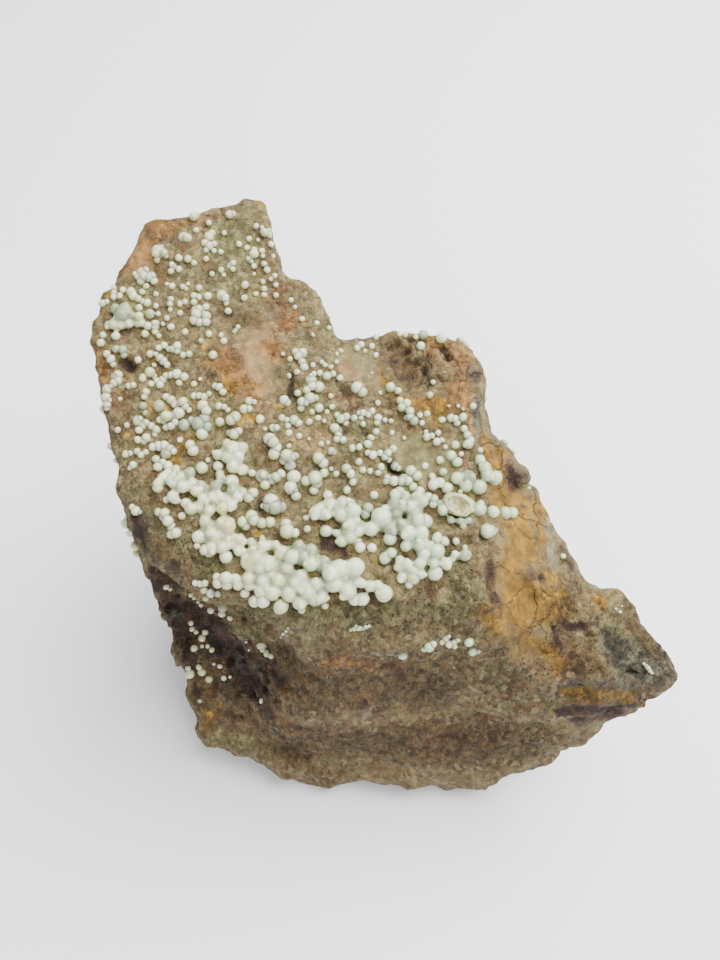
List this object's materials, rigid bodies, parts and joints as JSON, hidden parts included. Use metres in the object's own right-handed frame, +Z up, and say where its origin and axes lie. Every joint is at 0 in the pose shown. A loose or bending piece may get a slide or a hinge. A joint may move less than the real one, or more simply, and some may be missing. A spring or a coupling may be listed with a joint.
{
  "type": "fluorapatite mineral specimen",
  "caption": "Broken block of iron-stained host rock with beads and knobbly crusts of pale mint-white fluorapatite on its sloping upper face, resting on a flat facet.",
  "frame": {"origin": "on the rest plane, under the middle of the bounding box", "axes": "+Z up from the rest facet, +X to the right along the longest extent towards the toe, +Y away from the viewer towards the tall horn"},
  "size_m": [0.0596, 0.0486, 0.0497],
  "materials": {
    "matrix": "rough, iron-stained broken rock, matt",
    "front_crust": "waxy, slightly translucent botryoidal apatite",
    "middle_crust": "waxy, slightly translucent botryoidal apatite",
    "right_crust": "waxy, slightly translucent botryoidal apatite",
    "side_crust": "waxy, slightly translucent botryoidal apatite",
    "left_crust": "waxy, slightly translucent botryoidal apatite",
    "upper_crust": "waxy, slightly translucent botryoidal apatite"
  },
  "bodies": {
    "root": {"matrix": "matrix", "front_crust": "front_crust", "middle_crust": "middle_crust", "right_crust": "right_crust", "side_crust": "side_crust", "left_crust": "left_crust", "upper_crust": "upper_crust"}
  },
  "joints": []
}
